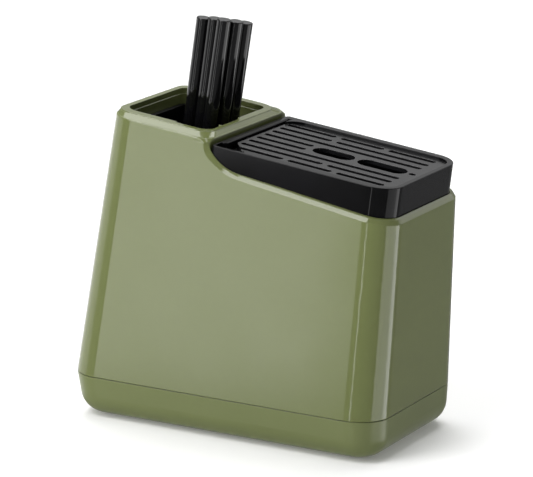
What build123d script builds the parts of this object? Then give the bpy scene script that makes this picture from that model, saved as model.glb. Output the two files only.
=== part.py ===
from build123d import *
from math import cos, radians, sin, tan
import os

# Housing, outer size
overall_length = 249.0      # from the seam's left end to the deck rim's right end
seam_length = 245.2         # length of the housing where it meets the base
seam_depth = 135.6          # front to back, at the seam
seam_height = 31.5          # seam above the surface it stands on
left_lean = 8.1             # degrees, left wall leans in as it rises
side_draft = 3.1            # degrees, front and back walls lean in
seam_corner = 23.5          # vertical corner radius at the seam
top_corner = 19.0           # vertical corner radius at reference_height
reference_height = 240.0    # height at which the upper section is drawn
wall = 2.8                  # wall of the moulded shell

# Housing, top outline
tilt = 6.4                  # degrees, drop-in axis leans to the right
tower_lip_height = 219.32   # lip plane at the middle of the tower
tower_middle_place = 66.35  # tower opening's middle at the lip, from the seam's left end
tower_right_place = 108.1   # tower's right wall at the frame's top, from the seam's left end
tower_right_corner = 12.0   # right vertical corners of the tower, at its shoulder
tower_low_corner = 2.0      # the same corners where their rounding starts
tower_corner_start = 0.3    # start of the rounding above the frame's top
divider = 3.0               # wall below the tower's right wall
deck_crease_height = 167.5  # lower line of the rim band at the right wall
deck_slope = 9.5            # degrees
curve_small = 6.0           # two arcs of the curve between tower and deck
curve_small_turn = 30.0     # degrees
curve_large = 32.0
band_rise = 3.4             # sloping band along the rim, up the wall
band_inset = 2.4            # the same band, in from the wall
band_soften = 0.8           # second, flatter step above the band
flare_left = 4.3            # the band widens up the curve: its foot, left of the tower's wall
flare_small = 14.0          # two arcs of the widened band's foot
flare_small_turn = 50.0     # degrees
flare_large = 50.0
flare_lift = 1.2            # how far that foot runs above the band's foot along the deck
flare_front = 58.6          # distance of that foot from the middle plane
rim_right_width = 3.8       # rim between outer wall and insert, right
rim_side_width = 4.4        # the same at front and back

# Tower lip
opening_length = 66.7       # tower opening, along its slope
opening_depth = 87.0        # front to back
opening_corner = 6.5        # right corners
opening_left_corner = 10.0
lip_left = 4.3              # width of the lip's flat
lip_right = 5.5
lip_side = 7.0
lip_corner = 12.5
lip_rise = 3.0              # lip above the shoulder, with a slope between them
lip_round = 0.6
lip_edge = 0.1              # upright edge left below that rounding
shoulder_rise = 0.6         # edge of the shoulder, down the wall
shoulder_inset = 0.5
shoulder_flat = 0.3
notch_depth = 1.5           # shallow rebate in the lip, at the front right corner
notch_width = 2.2
notch_left = 24.0           # how far it reaches from the corner, to the left
notch_back = 44.0           # the same, to the back
notch_end_round = 2.0
notch_rib = 1.0
notch_rib_place = 17.0      # rib's distance from the opening's front

# Throat of the tower and its cup
throat_wall = 2.2
throat_step_depth = 4.2     # small step below the lip
throat_step = 0.5
throat_depth = 13.5         # ledge below the lip
ledge_width = 1.6
ledge_thick = 2.4
cup_clearance = 0.4
cup_wall = 1.6
cup_flange_thick = 2.0
cup_floor_thick = 3.0

# Insert frame
frame_drop = 6.3            # frame's top plane below the lip's plane, across the slope
frame_height = 30.0
frame_clearance = 0.4
frame_gap_left = 1.7        # between the tower's wall and the frame
frame_corner = 18.0
frame_small_corner = 2.5
frame_inner_corner = 0.8    # smallest radius inside, at the frame's left corners
frame_wall = 2.6
frame_top_round = 0.5
plate_rim_right = 4.3       # frame's edge to the plate's recess
plate_rim_side = 6.9
seat_width = 2.8            # step that carries the plate
seat_thick = 2.6
frame_ledge_width = 3.2     # step in the housing below the frame
frame_ledge_thick = 2.4
pocket_depth = 7.5
pocket_floor = 2.0
pocket_wall = 1.5
pocket_corner = 1.5
bead_width = 4.6
bead_corner = 2.25
bead_front = -43.0
bead_back_gap = 2.9         # from the bead's back end to the frame's
bead_round = 1.2
pocket_length = 8.2         # from the tower's right wall to the plate's left end
island_slant_x = 14.2       # slanted front left corner
island_slant_y = 18.7

# Grille plate
grille_drop = 1.7           # plate's top below the frame's top
grille_thick = 3.2
grille_clearance = 0.4
grille_corner = 12.0
slot_rows = 8
slot_pitch = 11.5
slot_width = 5.5
slot_bridge = 3.8
slot_margin_left = 2.0      # plate's left end to the slots
slot_margin_right = 8.48      # slots to the plate's right end
slot_third_left = 40.8      # left bridge of the two outer rows, from the slots' left ends
slot_third_right = 38.2     # their right bridge, from the slots' right ends
slot_break_front = 51.0     # bridge of the second row from the front, from the right ends
slot_break_back = 43.0      # bridge of the second row from the back, from the left ends
small_oval_length = 31.5
large_oval_length = 37.0
large_oval_margin = 2.8     # its right end, left of the slots' right ends
oval_bridge = 3.35          # between the two ovals
oval_slot_bridge = 3.15     # between the small oval and the two short rows
oval_width = 16.5
finger_hole = 5.2
finger_hole_place = 1.6     # its middle, right of the slots' right ends

# Knife bin
bin_wall = 2.0
bin_flange_thick = 2.0
bin_clearance = 0.8
flange_clearance = 0.3
bin_floor_height = 44.0     # lowest point of the bin's underside
clip_length = 12.0
clip_reach = 1.2
clip_thick = 1.6
clip_corner = 0.4
clip_place = 40.0

# Rods and their socket
rod_diameter = 10.2
rod_length = 196.0
rod_edge_round = 0.8
bore_clearance = 0.3
socket_height = 42.0
socket_floor = 3.0          # below the lowest rod
# one value for each rod, from left to right
rod_right = (-3.5, 7.0, 16.8, 20.7, 22.5)       # at the lip, right of the tower's middle
rod_back = (0.6, -2.2, -8.5, 2.1, 12.9)         # behind the middle plane
rod_lean = (1.0, 1.0, 1.5, 1.7, 1.7)            # degrees to the right of the drop-in axis
rod_top = (65.1, 67.3, 69.7, 67.7, 65.3)        # top above the lip

# Base and feet
floor_gap = 1.6             # underside of the base above the surface
base_wall = 2.6
base_left_inset = 5.6
base_right_inset = 1.0
base_side_inset = 2.6
base_corner = 21.0
base_round = 17.0
seam_gap = 0.5              # dark line between housing and base
seam_reveal = 1.0           # its depth
tongue_height = 6.0
tongue_thick = 2.0
tongue_clearance = 0.4
tongue_room = 2.0           # free height above the tongue
shelf_thick = 4.0           # thicker rim below the tongue
shelf_extra = 0.8           # how far that rim reaches inside the tongue
foot_diameter = 14.0
foot_recess = 1.2
foot_edge_round = 0.5
foot_left_inset = 36.5      # feet from the seam's left end
foot_right_inset = 32.7
foot_side_inset = 27.8

os.makedirs("parts", exist_ok=True)

# Values worked out from the sizes above
far = 400.0                 # beyond the whole object
past = 1.0                  # how far a cut runs past the face it opens
on_face = 0.02              # distance that still counts as lying on a plane
seam_left = -overall_length / 2
seam_right = seam_left + seam_length
rim_right = overall_length / 2
lean_tan = tan(radians(left_lean))
draft_tan = tan(radians(side_draft))
tilt_tan = tan(radians(tilt))
deck_tan = tan(radians(deck_slope))
right_tan = (rim_right - seam_right) / (deck_crease_height - seam_height)
deck_top_right = deck_crease_height + band_rise
axis_x = sin(radians(tilt))
axis_z = cos(radians(tilt))


# Tilted frame: s runs along the slope, y to the back, w up the drop-in axis
def s_of(x, z):
    return x * axis_z - z * axis_x


def w_of(x, z):
    return x * axis_x + z * axis_z


def x_of(s, w):
    return s * axis_z + w * axis_x


def z_of(s, w):
    return w * axis_z - s * axis_x


def slope_z(x, w):
    """Height at x of the sloping plane at w."""
    return (w - x * axis_x) / axis_z


slope_plane = Plane(origin=(0, 0, 0), x_dir=(axis_z, 0, -axis_x), z_dir=(axis_x, 0, axis_z))
side_plane = Plane(origin=(0, 0, 0), x_dir=(axis_z, 0, -axis_x), z_dir=(0, -1, 0))

tower_middle = seam_left + tower_middle_place
tower_right = seam_left + tower_right_place
lip_w = w_of(tower_middle, tower_lip_height)
shoulder_w = lip_w - lip_rise
frame_w = lip_w - frame_drop
tower_wall_s = s_of(tower_right, slope_z(tower_right, frame_w))


def rounded(s0, s1, y0, y1, radius):
    shape = RectangleRounded(s1 - s0, y1 - y0, radius)
    return Pos((s0 + s1) / 2, (y0 + y1) / 2) * shape


def uneven(s0, s1, y0, y1, left_radius, right_radius):
    """Rounded rectangle whose left and right corners differ."""
    shape = Pos((s0 + s1) / 2, (y0 + y1) / 2) * Rectangle(s1 - s0, y1 - y0)
    shape = fillet(shape.vertices().sort_by(Axis.X)[:2], left_radius)
    return fillet(shape.vertices().sort_by(Axis.X)[-2:], right_radius)


def prism(sketch, w0, w1):
    """Solid between two sloping planes from a sketch in s and y."""
    return extrude(slope_plane.offset(w0) * sketch, amount=w1 - w0)


def slab(s0, s1, w0, w1):
    """Block across the whole depth, between values of s and w."""
    sketch = Pos((s0 + s1) / 2, (w0 + w1) / 2) * Rectangle(s1 - s0, w1 - w0)
    return extrude(side_plane * sketch, amount=far, both=True)


def housing_section(z, inset):
    """Outside of the housing at height z, moved in by inset."""
    rise = z - seam_height
    share = rise / (reference_height - seam_height)
    corner = seam_corner + (top_corner - seam_corner) * share
    x0 = seam_left + lean_tan * rise + inset
    x1 = seam_right + right_tan * rise - inset
    half = seam_depth / 2 - draft_tan * rise - inset
    return Pos(0, 0, z) * rounded(x0, x1, -half, half, corner - inset)


def housing_form(z0, z1, inset):
    return loft([housing_section(z0, inset), housing_section(z1, inset)], ruled=True)


def half_depth(z):
    """Half of the housing's depth at height z."""
    return seam_depth / 2 - draft_tan * (z - seam_height)


def deck_z(x):
    return deck_top_right + deck_tan * (rim_right - x)


def arc_step(radius, start, end):
    """Move along an arc that turns from heading start to heading end, from straight down."""
    return radius * (cos(start) - cos(end)), radius * (sin(start) - sin(end))


def top_curve(wall_s, small_radius, small_turn, large_radius, lift):
    """Corner points and arcs from the tower's shoulder down its wall to the deck, seen from the front."""
    corner = (x_of(wall_s, shoulder_w), z_of(wall_s, shoulder_w))
    # measured from straight down, the wall heads to the left by the tilt
    start = -radians(tilt)
    middle = radians(small_turn)
    end = radians(90 - deck_slope)
    small = arc_step(small_radius, start, middle)
    large = arc_step(large_radius, middle, end)
    run = small[0] + large[0]
    fall = small[1] + large[1]
    # slide the curve down the wall until it ends on the deck's line
    slide = (corner[1] + fall - lift - deck_z(corner[0] + run)) / (1 + tilt_tan * deck_tan)
    p0 = (corner[0] - slide * tilt_tan, corner[1] - slide)
    p1 = (p0[0] + small[0], p0[1] + small[1])
    p2 = (p1[0] + large[0], p1[1] + large[1])
    half_small = arc_step(small_radius, start, (start + middle) / 2)
    half_large = arc_step(large_radius, middle, (middle + end) / 2)
    m1 = (p0[0] + half_small[0], p0[1] + half_small[1])
    m2 = (p1[0] + half_large[0], p1[1] + half_large[1])
    return [
        Line(corner, p0),
        ThreePointArc(p0, m1, p1),
        ThreePointArc(p1, m2, p2),
        Line(p2, (far, deck_z(far) + lift)),
    ]


def top_profile():
    """Tower top, tower wall, curve and deck as one face, seen from the front."""
    curve = top_curve(tower_wall_s, curve_small, curve_small_turn, curve_large, 0)
    corner = curve[0] @ 0
    left_top = (-far, slope_z(-far, shoulder_w))
    outline = Curve() + [
        Line(left_top, corner),
        *curve,
        Line(curve[-1] @ 1, (far, -far)),
        Line((far, -far), (-far, -far)),
        Line((-far, -far), left_top),
    ]
    return make_face(outline)


def above(curve):
    """Face over the two arcs of a curve, open to the top."""
    start = curve[0] @ 0
    end = curve[2] @ 1
    high = start.Y + far
    outline = Curve() + [
        *curve[:3],
        Line(end, (end.X, high)),
        Line((end.X, high), (start.X, high)),
        Line((start.X, high), start),
    ]
    return make_face(outline)


def build_flare():
    """Cut that widens the front band towards the tower."""
    foot_s = tower_wall_s - flare_left
    foot = top_curve(foot_s, flare_small, flare_small_turn, flare_large, flare_lift - band_rise)
    rim = top_curve(tower_wall_s, curve_small, curve_small_turn, curve_large, 0)
    foot_face = Plane.XZ.offset(flare_front) * above(foot)
    rim_face = Plane.XZ.offset(frame_half + frame_clearance) * above(rim)
    return extrude(foot_face, amount=seam_depth / 2) + loft([rim_face, foot_face], ruled=True)


# Tower opening, lip and frame outlines in s and y
tower_s = s_of(tower_middle, tower_lip_height)
half_opening = opening_length / 2
half_open_y = opening_depth / 2
frame_left = tower_wall_s + frame_gap_left
frame_right = s_of(rim_right - rim_right_width, deck_top_right)
frame_half = half_depth(deck_top_right) - rim_side_width


def opening(margin):
    """Tower opening, wider on every side by margin."""
    return uneven(
        tower_s - half_opening - margin,
        tower_s + half_opening + margin,
        -half_open_y - margin,
        half_open_y + margin,
        opening_left_corner + margin,
        opening_corner + margin,
    )


def lip_outline():
    return uneven(
        tower_s - half_opening - lip_left,
        tower_s + half_opening + lip_right,
        -half_open_y - lip_side,
        half_open_y + lip_side,
        lip_corner,
        lip_corner,
    )


def frame_outline(margin):
    """Insert frame seen along the drop-in axis, wider on every side by margin."""
    return uneven(
        frame_left - margin,
        frame_right + margin,
        -frame_half - margin,
        frame_half + margin,
        max(frame_small_corner + margin, frame_inner_corner),
        frame_corner + margin,
    )


def frame_room():
    """Room in the housing for the frame, up to the tower's wall."""
    half = frame_half + frame_clearance
    corner = frame_corner + frame_clearance
    return uneven(tower_wall_s, frame_right + frame_clearance, -half, half, frame_small_corner, corner)


def on_plane(edge, height_of):
    """True where both ends and the middle of an edge lie on a sloping plane."""
    return all(abs(height_of(edge.position_at(t))) < on_face for t in (0, 0.5, 1))


def wall_left_s(w):
    """s of the housing's left wall on the sloping plane at w."""
    return (seam_left + lean_tan * (w * axis_z - seam_height) - w * axis_x) / (axis_z + lean_tan * axis_x)


def tower_outline(right_corner, inset):
    """Outside of the tower's upper end, moved in by inset."""
    half = half_depth(z_of(tower_wall_s, shoulder_w)) - inset
    left = wall_left_s(shoulder_w) + inset
    return uneven(left, tower_wall_s - inset, -half, half, top_corner - inset, right_corner - inset)


def tower_corner_cut():
    """Rounds the tower's two right corners, more and more towards the shoulder."""
    low_w = frame_w + tower_corner_start
    top_w = shoulder_w + lip_rise
    lower = slope_plane.offset(low_w) * tower_outline(tower_low_corner, 0)
    upper = slope_plane.offset(shoulder_w) * tower_outline(tower_right_corner, 0)
    keep = loft([lower, upper], ruled=True) + prism(tower_outline(tower_right_corner, 0), shoulder_w, top_w)
    block = slab(tower_wall_s - tower_right_corner, tower_wall_s, low_w, top_w)
    return block - keep


def build_collar():
    """Slope from the shoulder up to the lip, and the lip's flat top."""
    inset = shoulder_inset + shoulder_flat
    half = half_depth(z_of(wall_left_s(shoulder_w), shoulder_w)) - inset
    left = wall_left_s(shoulder_w) + inset
    foot = uneven(
        left, tower_wall_s - inset, -half, half, top_corner - inset, tower_right_corner - inset
    )
    edge_w = lip_w - lip_round
    lower = slope_plane.offset(shoulder_w) * foot
    slope = loft([lower, slope_plane.offset(edge_w) * lip_outline()], ruled=True)
    lip = prism(lip_outline(), edge_w, lip_w)
    return slope + fillet(lip.edges().filter_by(on_lip), lip_round - lip_edge)


def flat_tops(solid):
    """Level faces that look up, from left to right."""
    flat = solid.faces().filter_by(GeomType.PLANE)
    return flat.filter_by(lambda f: f.normal_at().Z > 0.9).sort_by(Axis.X)


def deck_edge(solid, side):
    """Long edge of the deck at the front, side -1, or the back, side 1."""
    edges = flat_tops(solid)[-1].edges()
    return edges.filter_by(lambda e: abs(e.tangent_at(0.5).Y) < 0.2).sort_by(Axis.Y)[-1 if side > 0 else 0]


def add_band(solid, side):
    """Sloping band from one long edge of the deck onwards, then a flatter step above it."""
    upright = solid.faces().filter_by(lambda f: f.normal_at().Y * side > 0.9)
    side_wall = upright.sort_by(Axis.Y)[-1 if side > 0 else 0]
    solid = chamfer(deck_edge(solid, side), band_rise, band_inset, reference=side_wall)
    return chamfer(deck_edge(solid, side), band_soften, band_soften, reference=flat_tops(solid)[-1])


def build_shell():
    """Outside of the housing with its band: the tower's half, then the half with the deck's end."""
    shell = housing_form(seam_height, reference_height, 0)
    shell = shell & extrude(Plane.XZ * top_profile(), amount=far, both=True)
    middle = Plane.YZ.offset((tower_right + rim_right) / 2)
    left = split(shell, bisect_by=middle, keep=Keep.BOTTOM)
    right = split(shell, bisect_by=middle, keep=Keep.TOP)
    left = add_band(add_band(left, -1), 1)
    return left + add_band(right, -1)


def build_housing():
    shell = build_shell()
    # edge of the shoulder around the tower's top
    tower_top = flat_tops(shell)[0]
    shell = chamfer(tower_top.edges(), shoulder_inset, shoulder_rise, reference=tower_top)
    flare = build_flare()
    shell -= flare
    shell -= mirror(flare, about=Plane.XZ)
    shell -= tower_corner_cut()
    shell += build_collar()

    # inside of the tower, inside below the deck, and the open underside
    inner = housing_form(seam_height - wall, reference_height, wall)
    tower_room = slab(-far, tower_wall_s - divider, -far, shoulder_w - wall)
    deck_room = slab(tower_wall_s, far, -far, frame_w - frame_height - frame_ledge_thick)
    skirt = Pos(0, 0, seam_height) * Box(2 * far, 2 * far, 2 * (tongue_height + tongue_room))
    shell -= inner & tower_room
    shell -= inner & deck_room
    shell -= inner & skirt

    # throat with its ledge
    throat_end = lip_w - throat_depth - ledge_thick
    shell += prism(opening(throat_wall), throat_end, shoulder_w)
    shell -= prism(opening(0), lip_w - throat_step_depth, lip_w + lip_rise)
    shell -= prism(opening(-throat_step), lip_w - throat_depth, lip_w)
    shell -= prism(opening(-throat_step - ledge_width), throat_end - past, lip_w)

    # rebate in the lip around the front right corner, parted by a rib
    corner_s = tower_s + half_opening
    outside = 2 * lip_side
    reach = rounded(
        corner_s - notch_left,
        corner_s + outside,
        -half_open_y - outside,
        notch_back - half_open_y,
        notch_end_round,
    )
    notch = prism(opening(notch_width) & reach, lip_w - notch_depth, lip_w + throat_step)
    rib_y = notch_rib_place - half_open_y
    rib = Pos(corner_s, rib_y) * Rectangle(outside, notch_rib)
    rib = prism(rib, lip_w - 2 * notch_depth, lip_w + lip_rise)
    shell -= notch - rib

    # room for the insert frame and the ledge that carries it
    frame_end = frame_w - frame_height
    shell -= prism(frame_room(), frame_end, frame_w + lip_rise)
    shell -= prism(frame_outline(-frame_ledge_width), frame_end - frame_ledge_thick - past, frame_w)
    return shell


def on_lip(edge):
    return on_plane(edge, lambda p: w_of(p.X, p.Z) - lip_w)


def base_section(z):
    share = (seam_height - z) / (seam_height - floor_gap)
    x0 = seam_left + base_left_inset * share
    x1 = seam_right - base_right_inset * share
    half = seam_depth / 2 - base_side_inset * share
    corner = seam_corner + (base_corner - seam_corner) * share
    return x0, x1, half, corner


def base_form(z0, z1, inset, bottom_round):
    sections = []
    for z in (z0, z1):
        x0, x1, half, corner = base_section(z)
        shape = rounded(x0 + inset, x1 - inset, -half + inset, half - inset, corner - inset)
        sections.append(Pos(0, 0, z) * shape)
    form = loft(sections, ruled=True)
    lower = form.edges().filter_by(lambda e: on_plane(e, lambda p: p.Z - z0))
    return fillet(lower, bottom_round)


def ring(z0, z1, outer_inset, inner_inset):
    """Upright ring that follows the seam's outline."""
    x0, x1, half, corner = base_section(seam_height)
    solid = None
    for inset in (outer_inset, inner_inset):
        shape = rounded(x0 + inset, x1 - inset, -half + inset, half - inset, corner - inset)
        piece = extrude(Pos(0, 0, z0) * shape, amount=z1 - z0)
        solid = piece if solid is None else solid - piece
    return solid


def build_base():
    top = seam_height - seam_gap
    tray = base_form(floor_gap, top, 0, base_round)
    inner_floor = floor_gap + base_wall
    tray -= base_form(inner_floor, top + past, base_wall, base_round - base_wall)
    tongue_outer = wall + tongue_clearance
    tongue_inner = tongue_outer + tongue_thick
    # shoulder under the housing's edge, seat just inside the visible seam, tongue
    tray += ring(top - shelf_thick, top, base_wall / 2, tongue_inner + shelf_extra)
    tray += ring(top - shelf_thick / 2, seam_height, seam_reveal, tongue_inner + shelf_extra)
    tongue_top = seam_height + tongue_height
    tongue = housing_form(seam_height - past, tongue_top, tongue_outer)
    tray += tongue - housing_form(seam_height - 2 * past, tongue_top + past, tongue_inner)
    for x, y in foot_places():
        tray -= Pos(x, y, floor_gap) * Cylinder(foot_diameter / 2, 2 * foot_recess)
    return tray


def foot_places():
    ends = (seam_left + foot_left_inset, seam_right - foot_right_inset)
    side = seam_depth / 2 - foot_side_inset
    return [(x, y) for x in ends for y in (-side, side)]


def build_foot(x, y):
    height = floor_gap + foot_recess
    foot = Pos(x, y, height / 2) * Cylinder(foot_diameter / 2, height)
    return fillet(foot.edges().sort_by(Axis.Z)[0], foot_edge_round)


# Grille outline and frame
plate_right_s = frame_right - plate_rim_right
plate_half = frame_half - plate_rim_side
grille_top_w = frame_w - grille_drop
grille_bottom_w = grille_top_w - grille_thick


def grille_s(x):
    """s of a place on the grille's top plane."""
    return s_of(x, slope_z(x, grille_top_w))


island_left = tower_right + pocket_length
plate_left_s = grille_s(island_left)
slot_left = island_left + slot_margin_left
slot_right = x_of(plate_right_s, grille_top_w) - slot_margin_right
large_oval_left = slot_right - large_oval_margin - large_oval_length
small_oval_left = large_oval_left - oval_bridge - small_oval_length


def island(margin, half, right):
    """Outline of plate or recess with its slanted front left corner."""
    left = plate_left_s - margin
    shape = rounded(left, right + margin, -half - margin, half + margin, grille_corner + margin)
    slant_x = island_slant_x + (half - plate_half) * island_slant_x / island_slant_y
    slant_y = -half - margin + island_slant_y + (half - plate_half)
    front = -half - margin
    cut = Polyline(
        (left - past, slant_y),
        (left, slant_y),
        (left + slant_x, front),
        (left + slant_x, front - past),
        (left - past, front - past),
        (left - past, slant_y),
    )
    return shape - make_face(cut)


def build_frame():
    frame = prism(frame_outline(0), frame_w - frame_height, frame_w)
    top_edges = frame.edges().filter_by(lambda e: on_plane(e, lambda p: w_of(p.X, p.Z) - frame_w))
    frame = fillet(top_edges, frame_top_round)
    under_w = grille_bottom_w - seat_thick
    pocket_w = frame_w - pocket_depth
    floor_w = min(under_w, pocket_w - pocket_floor)
    frame -= prism(frame_outline(-frame_wall), frame_w - frame_height - past, floor_w)
    # recess for the plate, then the opening below it
    frame -= prism(island(grille_clearance, plate_half, plate_right_s), grille_bottom_w, frame_w + past)
    frame -= prism(island(-seat_width, plate_half, plate_right_s), floor_w - past, frame_w)
    # pocket left of the plate
    room = rounded(
        frame_left + pocket_wall,
        plate_left_s + 2 * island_slant_x,
        -frame_half + pocket_wall,
        plate_half + grille_clearance,
        pocket_corner,
    )
    pocket = room - island(0, frame_half, plate_right_s)
    frame -= prism(pocket, pocket_w, frame_w + past)
    bead = rounded(frame_left, frame_left + bead_width, bead_front, frame_half - bead_back_gap, bead_corner)
    bead = prism(bead & frame_outline(0), pocket_w - pocket_floor / 2, frame_w)
    top_edges = bead.edges().filter_by(lambda e: on_plane(e, lambda p: w_of(p.X, p.Z) - frame_w))
    frame += fillet(top_edges, bead_round)
    for y, turn in ((-frame_half, 1), (frame_half, -1)):
        for place in (-clip_place, clip_place):
            s = (frame_left + frame_right) / 2 + place
            deep = y + turn * (frame_wall + clip_reach)
            low = floor_w - bin_flange_thick - clip_thick
            clip = rounded(s - clip_length / 2, s + clip_length / 2, min(y, deep), max(y, deep), clip_corner)
            clip = prism(clip & frame_outline(-frame_wall / 2), low, floor_w - bin_flange_thick)
            frame += clip
    return frame


def slot(x0, x1, y, width):
    """Slot with round ends between two values of x."""
    s0 = grille_s(x0)
    s1 = grille_s(x1)
    return Pos((s0 + s1) / 2, y) * SlotOverall(s1 - s0, width)


def row_breaks(row):
    """Ends of the slots in a row, counted from the back."""
    gap = slot_bridge / 2
    last = slot_rows - 1
    middle_rows = (last // 2, last // 2 + 1)
    if row in (0, last):
        one = slot_left + slot_third_left
        two = slot_right - slot_third_right
        return [(slot_left, one - gap), (one + gap, two - gap), (two + gap, slot_right)]
    if row == 1:
        place = slot_left + slot_break_back
        return [(slot_left, place - gap), (place + gap, slot_right)]
    if row == last - 1:
        place = slot_right - slot_break_front
        return [(slot_left, place - gap), (place + gap, slot_right)]
    if row in middle_rows:
        return [(slot_left, small_oval_left - oval_slot_bridge)]
    return [(slot_left, slot_right)]


def build_grille():
    plate = prism(island(0, plate_half, plate_right_s), grille_bottom_w, grille_top_w)
    holes = []
    for row in range(slot_rows):
        y = ((slot_rows - 1) / 2 - row) * slot_pitch
        for x0, x1 in row_breaks(row):
            holes.append(slot(x0, x1, y, slot_width))
    for left, length in ((small_oval_left, small_oval_length), (large_oval_left, large_oval_length)):
        holes.append(slot(left, left + length, 0, oval_width))
    hole_s = grille_s(slot_right + finger_hole_place)
    holes.append(Pos(hole_s, 0) * Circle(finger_hole / 2))
    for hole in holes:
        plate -= prism(hole, grille_bottom_w - past, grille_top_w + past)
    return plate


def build_bin():
    flange_w = bin_top_w()
    bottom_w = bin_floor_w()
    flange = frame_outline(-frame_wall - flange_clearance)
    body = frame_outline(-frame_ledge_width - bin_clearance)
    inside = frame_outline(-frame_ledge_width - bin_clearance - bin_wall)
    # the bin keeps its clearance to the housing's walls
    gap = wall + bin_clearance
    solid = prism(flange, flange_w - bin_flange_thick, flange_w)
    solid += prism(body, bottom_w, flange_w) & housing_form(seam_height, reference_height, gap)
    room = prism(inside, bottom_w + bin_wall, flange_w + past)
    solid -= room & housing_form(seam_height, reference_height, gap + bin_wall)
    return solid


def bin_top_w():
    return min(grille_bottom_w - seat_thick, frame_w - pocket_depth - pocket_floor)


def bin_floor_w():
    """Underside of the bin, set by its right end, which hangs lowest."""
    return (bin_floor_height + (frame_right - frame_ledge_width) * axis_x) / axis_z


# Tower cup with the rods and their socket
cup_top_w = lip_w - throat_depth + cup_flange_thick


class Rod:
    """One rod: place on the lip plane, lean and height of its top above that plane."""

    def __init__(self, s, y, lean, top):
        self.s = tower_s + s
        self.y = y
        self.lean = radians(lean)
        self.top = top

    def point(self, w):
        """Centre of the rod at w above the lip plane."""
        s = self.s + tan(self.lean) * w
        return (x_of(s, lip_w + w), self.y, z_of(s, lip_w + w))

    def direction(self):
        angle = radians(tilt) + self.lean
        return (sin(angle), 0, cos(angle))

    def cylinder(self, radius, start, length):
        """Cylinder on the rod's axis, from start below its top."""
        top = self.top - start * cos(self.lean)
        base = Plane(origin=self.point(top), z_dir=tuple(-v for v in self.direction()))
        return extrude(base * Circle(radius), amount=length)


rods = [Rod(*values) for values in zip(rod_right, rod_back, rod_lean, rod_top)]


def build_rod(rod):
    solid = rod.cylinder(rod_diameter / 2, 0, rod_length)
    return fillet(solid.edges().filter_by(GeomType.CIRCLE), rod_edge_round)


def socket_base_w():
    """Underside of the socket, below the lowest rod."""
    lowest = min(rod.top - rod_length * cos(rod.lean) for rod in rods)
    return lip_w + lowest - socket_floor


def build_socket():
    inner = opening(-throat_step - ledge_width - cup_clearance - cup_wall)
    block = prism(inner, socket_base_w(), socket_base_w() + socket_height)
    for rod in rods:
        bore = rod.cylinder(rod_diameter / 2 + bore_clearance, 0, rod_length)
        block -= bore
    return block


def build_cup():
    outer = opening(-throat_step - ledge_width - cup_clearance)
    inner = opening(-throat_step - ledge_width - cup_clearance - cup_wall)
    floor_w = socket_base_w()
    solid = prism(opening(-throat_step - cup_clearance), cup_top_w - cup_flange_thick, cup_top_w)
    solid += prism(outer, floor_w - cup_floor_thick, cup_top_w)
    solid -= prism(inner, floor_w, cup_top_w + past)
    return solid


parts = {
    "housing": build_housing(),
    "base_tray": build_base(),
    "insert_frame": build_frame(),
    "knife_grille": build_grille(),
    "knife_bin": build_bin(),
    "tower_cup": build_cup(),
    "rod_socket": build_socket(),
}
for number, rod in enumerate(rods, 1):
    parts[f"rod_{number}"] = build_rod(rod)
for name, (x, y) in zip(("front_left", "back_left", "front_right", "back_right"), foot_places()):
    parts[f"foot_{name}"] = build_foot(x, y)

for name, shape in parts.items():
    export_step(shape, f"parts/{name}.step")
    box = shape.bounding_box()
    print(name, len(shape.solids()), round(shape.volume), box)
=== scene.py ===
import math

import bpy
from mathutils import Matrix, Vector


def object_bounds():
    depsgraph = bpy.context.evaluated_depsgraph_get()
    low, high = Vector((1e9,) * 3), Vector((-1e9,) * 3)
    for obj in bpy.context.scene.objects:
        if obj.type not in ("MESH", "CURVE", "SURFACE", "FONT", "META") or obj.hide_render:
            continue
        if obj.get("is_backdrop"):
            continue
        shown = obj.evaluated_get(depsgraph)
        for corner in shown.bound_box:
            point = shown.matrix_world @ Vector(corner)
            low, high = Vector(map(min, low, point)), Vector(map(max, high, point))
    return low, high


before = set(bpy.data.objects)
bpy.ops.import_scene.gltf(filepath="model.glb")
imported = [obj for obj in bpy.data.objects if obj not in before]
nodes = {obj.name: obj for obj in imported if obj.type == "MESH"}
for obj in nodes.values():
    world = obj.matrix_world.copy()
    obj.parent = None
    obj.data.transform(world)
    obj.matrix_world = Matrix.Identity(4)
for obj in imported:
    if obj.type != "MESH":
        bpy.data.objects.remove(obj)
cad_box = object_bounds()
scene = bpy.context.scene


def plain(value):
    """Vectors and tuples as plain lists of numbers."""
    if isinstance(value, (int, float)):
        return float(value)
    return [plain(item) for item in value]


def direction(azimuth, elevation):
    """Unit vector away from the object, in degrees, with the front at 0 and the right at 90."""
    a = math.radians(azimuth)
    e = math.radians(elevation)
    return Vector((math.sin(a) * math.cos(e), -math.cos(a) * math.cos(e), math.sin(e)))


# Camera, with angles in degrees and lengths in metres

VIEW_AZIMUTH = 27.98
VIEW_ELEVATION = 14.37
VIEW_ROLL = 1.0
VIEW_DISTANCE = 2.3725
VIEW_TARGET = Vector((-0.00032, 0.0, 0.13164))
VIEW_FOCAL_PIXELS = 3371.4
IMAGE_WIDTH_PIXELS = 533
SENSOR_WIDTH_MM = 36.0
NEAREST = 0.05
FARTHEST = 60.0


def view_axes(azimuth, elevation, roll):
    """The camera's right, up and back directions."""
    back = direction(azimuth, elevation)
    right = direction(azimuth + 90.0, 0.0)
    up = back.cross(right)
    r = math.radians(roll)
    turned_right = right * math.cos(r) + up * math.sin(r)
    turned_up = up * math.cos(r) - right * math.sin(r)
    return turned_right, turned_up, back


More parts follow.
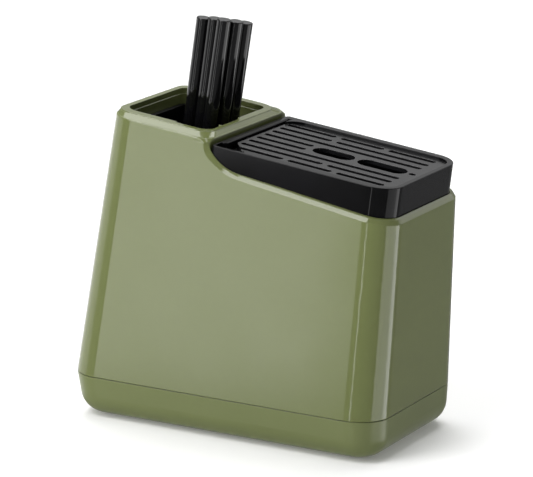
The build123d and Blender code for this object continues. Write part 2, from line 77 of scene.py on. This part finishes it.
def make_camera():
    right, up, back = view_axes(VIEW_AZIMUTH, VIEW_ELEVATION, VIEW_ROLL)
    data = bpy.data.cameras.new("camera")
    data.sensor_fit = "HORIZONTAL"
    data.sensor_width = SENSOR_WIDTH_MM
    data.lens = VIEW_FOCAL_PIXELS / IMAGE_WIDTH_PIXELS * SENSOR_WIDTH_MM
    data.clip_start = NEAREST
    data.clip_end = FARTHEST
    camera = bpy.data.objects.new("camera", data)
    place = VIEW_TARGET + back * VIEW_DISTANCE
    turn = Matrix((right, up, back)).transposed().to_4x4()
    camera.matrix_world = Matrix.Translation(place) @ turn
    scene.collection.objects.link(camera)
    scene.camera = camera


# Node helpers

BEVEL_SAMPLES = 6
EDGE_WIDTH = 0.0006

# How alike the rounded and the true normal are, at an edge and on a flat face, for the mask of the
# painted edge highlight
EDGE_ALIKE = 0.88
FLAT_ALIKE = 0.99

# Upward part of the normal, where a face begins to look upward and where it does so fully; the
# painted edge highlight is kept to such faces
UPWARD_FROM = 0.4
UPWARD_FULL = 0.6

# Socket numbers of the colour form of the mix node, whose socket names repeat
MIX_FACTOR = 0
MIX_FIRST = 6
MIX_SECOND = 7
MIX_RESULT = 2


def link(tree, source, target):
    tree.links.new(source, target)


def add_node(tree, kind, **values):
    made = tree.nodes.new(kind)
    for name, value in values.items():
        setattr(made, name, value)
    return made


def noise(tree, scale, detail=2.0, roughness=0.5, stretch=(1, 1, 1)):
    """Noise in the piece's own coordinates, in features per metre."""
    coordinates = add_node(tree, "ShaderNodeTexCoord")
    mapping = add_node(tree, "ShaderNodeMapping")
    mapping.inputs["Scale"].default_value = stretch
    link(tree, coordinates.outputs["Object"], mapping.inputs["Vector"])
    made = add_node(tree, "ShaderNodeTexNoise")
    made.inputs["Scale"].default_value = scale
    made.inputs["Detail"].default_value = detail
    made.inputs["Roughness"].default_value = roughness
    link(tree, mapping.outputs["Vector"], made.inputs["Vector"])
    return made.outputs["Fac"]


def span(tree, source, low, high, from_low=0.3, from_high=0.7):
    """A value remapped from one range to another, at first from the usual range of noise."""
    made = add_node(tree, "ShaderNodeMapRange")
    made.inputs["From Min"].default_value = from_low
    made.inputs["From Max"].default_value = from_high
    made.inputs["To Min"].default_value = low
    made.inputs["To Max"].default_value = high
    link(tree, source, made.inputs["Value"])
    return made.outputs["Result"]


def math_node(tree, operation, first, second):
    made = add_node(tree, "ShaderNodeMath", operation=operation)
    link(tree, first, made.inputs[0])
    link(tree, second, made.inputs[1])
    return made.outputs["Value"]


def blend_colors(tree, factor, first, second):
    """Two colours mixed by a factor. Each is a socket or a tuple of red, green and blue."""
    made = add_node(tree, "ShaderNodeMix", data_type="RGBA")
    for socket, value in ((MIX_FIRST, first), (MIX_SECOND, second)):
        if hasattr(value, "is_output"):
            link(tree, value, made.inputs[socket])
        else:
            made.inputs[socket].default_value = (*value, 1.0)
    link(tree, factor, made.inputs[MIX_FACTOR])
    return made.outputs[MIX_RESULT]


def soft_edges(tree, radius):
    """Normal that rounds every sharp edge by a small radius, so that edges catch the light."""
    made = add_node(tree, "ShaderNodeBevel", samples=BEVEL_SAMPLES)
    made.inputs["Radius"].default_value = radius
    return made.outputs["Normal"]


def painted_highlight_mask(tree):
    """Mask of a painted highlight: one along the sharp edges of faces that look upward, zero
    elsewhere.
    """
    normal = add_node(tree, "ShaderNodeNewGeometry").outputs["Normal"]
    alike = add_node(tree, "ShaderNodeVectorMath", operation="DOT_PRODUCT")
    link(tree, soft_edges(tree, EDGE_WIDTH), alike.inputs[0])
    link(tree, normal, alike.inputs[1])
    parts = add_node(tree, "ShaderNodeSeparateXYZ")
    link(tree, normal, parts.inputs["Vector"])
    edge = span(tree, alike.outputs["Value"], 1.0, 0.0, EDGE_ALIKE, FLAT_ALIKE)
    upward = span(tree, parts.outputs["Z"], 0.0, 1.0, UPWARD_FROM, UPWARD_FULL)
    return math_node(tree, "MULTIPLY", edge, upward)


def bump(tree, source, strength, distance, normal=None):
    made = add_node(tree, "ShaderNodeBump")
    made.inputs["Strength"].default_value = strength
    made.inputs["Distance"].default_value = distance
    link(tree, source, made.inputs["Height"])
    if normal is not None:
        link(tree, normal, made.inputs["Normal"])
    return made.outputs["Normal"]


def new_material(name):
    material = bpy.data.materials.new(name)
    material.use_nodes = True
    tree = material.node_tree
    shader = next(n for n in tree.nodes if n.type == "BSDF_PRINCIPLED")
    return material, tree, shader


# Materials

GREEN_EDGE_RADIUS = 0.0007
GREEN_SMOOTHER = 0.012
GREEN_ROUGHER = 0.015
SPECKLE_GAIN = 1.06
BLACK_EDGE_RADIUS = 0.0005
BLACK_SMOOTHER = 0.85
BLACK_ROUGHER = 1.15
LIGHT_TONE_GAIN = 1.7
LEAST_TONE = 0.002


def moulded_plastic(name, color, shade, edge_highlight_color, roughness, grain, grain_depth, refraction):
    """Moulded plastic: drifting tone, pale edges that are a painted highlight, fine surface grain
    and patchy gloss.
    """
    material, tree, shader = new_material(name)
    drift = noise(tree, scale=9.0, detail=3.0, roughness=0.55)
    fine = noise(tree, scale=160.0, roughness=0.6)
    base = blend_colors(tree, span(tree, drift, 0.0, 1.0), color, shade)
    speckle = [c * SPECKLE_GAIN + LEAST_TONE for c in color]
    base = blend_colors(tree, span(tree, fine, 0.0, 0.22, 0.45, 0.75), base, speckle)
    # Painted highlight: pale colour along the sharp edges of upward faces, standing in for glints of
    # light
    base = blend_colors(tree, painted_highlight_mask(tree), base, edge_highlight_color)
    link(tree, base, shader.inputs["Base Color"])
    patch = noise(tree, scale=22.0, detail=4.0, roughness=0.6)
    gloss = span(tree, patch, roughness - GREEN_SMOOTHER, roughness + GREEN_ROUGHER)
    link(tree, gloss, shader.inputs["Roughness"])
    edges = soft_edges(tree, GREEN_EDGE_RADIUS)
    peel = bump(tree, noise(tree, grain), strength=0.35, distance=grain_depth, normal=edges)
    link(tree, peel, shader.inputs["Normal"])
    shader.inputs["IOR"].default_value = refraction
    return material


def black_plastic(name, tone, edge_highlight_tone, roughness, grain, grain_depth, scratches, refraction):
    """Black moulded plastic with paler edges that are a painted highlight, and faint hairlines along
    X.
    """
    material, tree, shader = new_material(name)
    dark = (tone, tone, tone * 1.03)
    pale = tone * LIGHT_TONE_GAIN + LEAST_TONE
    light = (pale, pale, pale + 0.001)
    drift = noise(tree, scale=14.0, detail=3.0, roughness=0.6)
    base = blend_colors(tree, span(tree, drift, 0.0, 1.0), dark, light)
    # Painted highlight: paler tone along the sharp edges of upward faces, standing in for glints of
    # light
    base = blend_colors(tree, painted_highlight_mask(tree), base, (edge_highlight_tone, edge_highlight_tone, edge_highlight_tone))
    link(tree, base, shader.inputs["Base Color"])
    patch = noise(tree, scale=35.0, detail=4.0, roughness=0.65)
    lines = noise(tree, scale=60.0, detail=3.0, roughness=0.6, stretch=(1.0, 12.0, 12.0))
    gloss = span(tree, patch, roughness * BLACK_SMOOTHER, roughness * BLACK_ROUGHER)
    hairlines = span(tree, lines, 0.0, scratches, 0.55, 0.8)
    link(tree, math_node(tree, "ADD", gloss, hairlines), shader.inputs["Roughness"])
    edges = soft_edges(tree, BLACK_EDGE_RADIUS)
    grained = bump(tree, noise(tree, grain), strength=0.3, distance=grain_depth, normal=edges)
    link(tree, grained, shader.inputs["Normal"])
    shader.inputs["IOR"].default_value = refraction
    return material


def rubber(name):
    """Matt dark rubber with dust and a fine grain."""
    material, tree, shader = new_material(name)
    dust = noise(tree, scale=220.0, detail=4.0, roughness=0.7)
    clean = (0.018, 0.018, 0.019)
    dusty = (0.045, 0.044, 0.042)
    base = blend_colors(tree, span(tree, dust, 0.0, 1.0), clean, dusty)
    link(tree, base, shader.inputs["Base Color"])
    gloss = span(tree, noise(tree, scale=60.0), 0.68, 0.85)
    link(tree, gloss, shader.inputs["Roughness"])
    grained = bump(tree, noise(tree, scale=1400.0), strength=0.5, distance=0.00015)
    link(tree, grained, shader.inputs["Normal"])
    return material


shell_green = moulded_plastic(
    "shell_green",
    color=(0.127, 0.147, 0.053),
    shade=(0.124, 0.144, 0.051),
    # Colour of the painted edge highlight
    edge_highlight_color=(0.30, 0.33, 0.19),
    roughness=0.10,
    grain=900.0,
    grain_depth=0.00002,
    refraction=1.46,
)
base_green = moulded_plastic(
    "base_green",
    color=(0.142, 0.164, 0.062),
    shade=(0.134, 0.156, 0.058),
    # Colour of the painted edge highlight
    edge_highlight_color=(0.20, 0.23, 0.11),
    roughness=0.30,
    grain=800.0,
    grain_depth=0.00003,
    refraction=1.42,
)
frame_black = black_plastic(
    "frame_black",
    tone=0.003,
    # Tone of the painted edge highlight
    edge_highlight_tone=0.07,
    roughness=0.06,
    grain=900.0,
    grain_depth=0.00001,
    scratches=0.04,
    refraction=1.21,
)
plate_black = black_plastic(
    "plate_black",
    tone=0.004,
    # Tone of the painted edge highlight
    edge_highlight_tone=0.14,
    roughness=0.22,
    grain=1100.0,
    grain_depth=0.00002,
    scratches=0.06,
    refraction=1.34,
)
cup_black = black_plastic(
    "cup_black",
    tone=0.002,
    # Tone of the painted edge highlight
    edge_highlight_tone=0.01,
    roughness=0.40,
    grain=900.0,
    grain_depth=0.00006,
    scratches=0.08,
    refraction=1.2,
)
rod_black = black_plastic(
    "rod_black",
    tone=0.002,
    # Tone of the painted edge highlight
    edge_highlight_tone=0.05,
    roughness=0.07,
    grain=500.0,
    grain_depth=0.00001,
    scratches=0.04,
    refraction=1.42,
)
foot_black = rubber("foot_black")

MATERIAL_OF = {
    "housing": shell_green,
    "base_tray": base_green,
    "insert_frame": frame_black,
    "knife_grille": plate_black,
    "knife_bin": cup_black,
    "tower_cup": cup_black,
    "rod_socket": cup_black,
}
for name, node in nodes.items():
    if name.startswith("rod_") and name != "rod_socket":
        material = rod_black
    elif name.startswith("foot_"):
        material = foot_black
    else:
        material = MATERIAL_OF[name]
    for place in node.material_slots:
        place.material = material


# Floor and light

AIM = Vector((0.0, 0.0, 0.12))
WHITE = (1.0, 1.0, 1.0, 1.0)
FLOOR_SIZE = 24.0
FLOOR_CUTS = 4
FLOOR_ROUGHNESS = 0.9
FLOOR_SPECULAR = 0.1
FLOOR_GLOW = 0.12
WORLD_STRENGTH = 0.32


def make_floor():
    """Pale matt floor. The object's glossy walls don't mirror it."""
    material, tree, shader = new_material("floor_white")
    drift = noise(tree, scale=1.5)
    color = blend_colors(tree, span(tree, drift, 0.0, 1.0), (0.93, 0.93, 0.93), (0.95, 0.95, 0.95))
    link(tree, color, shader.inputs["Base Color"])
    shader.inputs["Roughness"].default_value = FLOOR_ROUGHNESS
    shader.inputs["Specular IOR Level"].default_value = FLOOR_SPECULAR
    shader.inputs["Emission Color"].default_value = WHITE
    shader.inputs["Emission Strength"].default_value = FLOOR_GLOW
    bpy.ops.mesh.primitive_grid_add(
        x_subdivisions=FLOOR_CUTS, y_subdivisions=FLOOR_CUTS, size=FLOOR_SIZE
    )
    floor = bpy.context.object
    floor.name = "floor"
    floor.data.materials.append(material)
    floor.visible_glossy = False
    floor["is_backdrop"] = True


def add_light(name, place, away, size, power):
    """Rectangular light that the camera doesn't see, with its back turned away from the object."""
    data = bpy.data.lights.new(name, "AREA")
    data.shape = "RECTANGLE"
    data.size, data.size_y = size
    data.energy = power
    light = bpy.data.objects.new(name, data)
    light.location = place
    light.rotation_euler = away.to_track_quat("Z", "Y").to_euler()
    light.visible_camera = False
    scene.collection.objects.link(light)
    return light


def soft_box(name, azimuth, elevation, distance, size, power, mirrored=True):
    """Soft box that faces the object, placed by its direction from it."""
    away = direction(azimuth, elevation)
    light = add_light(name, AIM + away * distance, away, size, power)
    light.visible_glossy = mirrored


def mirror_panel(name, azimuth, distance, middle_height, size, radiance):
    """Upright bright panel that is only seen in glossy walls. It may reach below the floor."""
    away = direction(azimuth, 0.0)
    place = away * distance + Vector((0.0, 0.0, middle_height))
    power = radiance * math.pi * size[0] * size[1]
    panel = add_light(name, place, away, size, power)
    panel.visible_diffuse = False


def make_world():
    world = bpy.data.worlds.new("studio")
    world.use_nodes = True
    background = next(n for n in world.node_tree.nodes if n.type == "BACKGROUND")
    background.inputs["Color"].default_value = WHITE
    background.inputs["Strength"].default_value = WORLD_STRENGTH
    scene.world = world


make_camera()
make_floor()
make_world()
soft_box(
    "front_fill", azimuth=-28, elevation=22, distance=2.0, size=(1.0, 1.0), power=16, mirrored=False
)
soft_box("key_panel", azimuth=-21, elevation=53, distance=1.6, size=(0.84, 0.62), power=12)
soft_box("top_panel", azimuth=203, elevation=66, distance=2.4, size=(2.0, 2.0), power=52)

# What the front wall and the base's front mirror
mirror_panel(
    "front_mirror", azimuth=-28.6, distance=8.0, middle_height=-1.1, size=(1.04, 1.04), radiance=3.45
)
mirror_panel(
    "base_mirror", azimuth=-28.6, distance=8.0, middle_height=-3.7, size=(1.5, 1.8), radiance=4.4
)

# What the front's upper edges, its right corner and the left corner mirror
mirror_panel(
    "edge_mirror", azimuth=-26, distance=3.0, middle_height=1.3, size=(1.4, 1.9), radiance=8.0
)
mirror_panel(
    "line_mirror", azimuth=-3, distance=3.0, middle_height=-0.6, size=(0.17, 2.0), radiance=5.0
)
mirror_panel(
    "right_mirror", azimuth=101, distance=3.0, middle_height=-0.8, size=(3.6, 1.6), radiance=2.2
)
mirror_panel(
    "right_strip", azimuth=122, distance=3.0, middle_height=-0.8, size=(0.9, 1.6), radiance=1.6
)
mirror_panel(
    "left_mirror", azimuth=-104, distance=3.0, middle_height=-0.6, size=(5.0, 1.6), radiance=1.1
)

# What the faces that look upward and the tower's collar mirror
mirror_panel(
    "back_mirror", azimuth=208, distance=3.0, middle_height=1.5, size=(1.6, 1.3), radiance=0.35
)
mirror_panel(
    "collar_mirror", azimuth=159, distance=3.0, middle_height=1.6, size=(2.0, 2.0), radiance=1.0
)
scene.view_settings.view_transform = "Standard"

{"cad": plain(cad_box), "visual": plain(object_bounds())}
